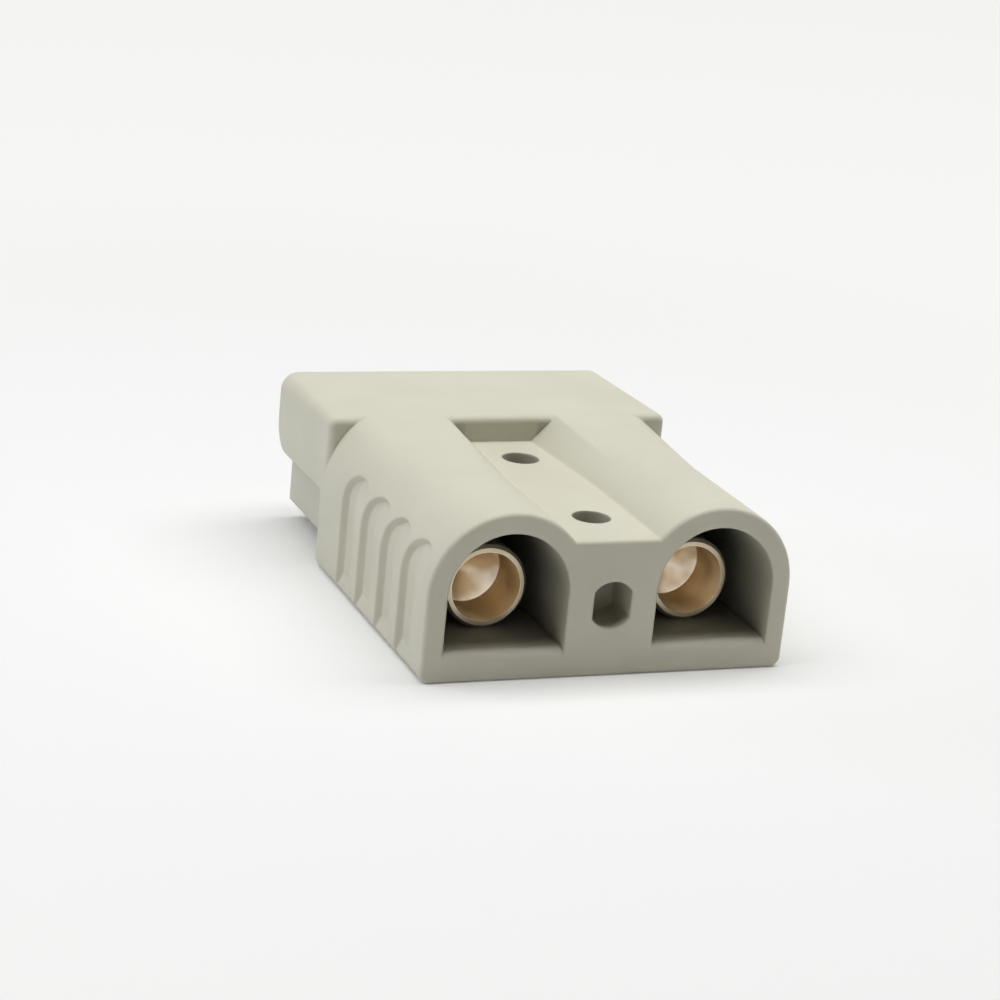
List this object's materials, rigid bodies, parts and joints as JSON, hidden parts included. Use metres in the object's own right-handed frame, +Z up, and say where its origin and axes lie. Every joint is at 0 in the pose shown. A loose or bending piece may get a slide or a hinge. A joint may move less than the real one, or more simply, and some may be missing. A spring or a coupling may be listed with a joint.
{
  "type": "genderless power connector",
  "caption": "Genderless battery power connector: a hood and tongues that mate with a turned-over copy, crimp contacts behind D-shaped cable mouths, and finger ribs along the sides.",
  "frame": {"origin": "middle of the flat underside, halfway between the cable end and the mating end", "axes": "+X across the width, +Y from the cable end to the mating end, +Z up through the hood"},
  "size_m": [0.0366, 0.048, 0.0162],
  "materials": {
    "housing_plastic": "matte",
    "plated_copper": "satin",
    "spring_steel": "satin"
  },
  "bodies": {
    "root": {"housing": "housing_plastic", "contact_left": "plated_copper", "contact_right": "plated_copper", "spring_left": "spring_steel", "spring_right": "spring_steel"}
  },
  "joints": []
}
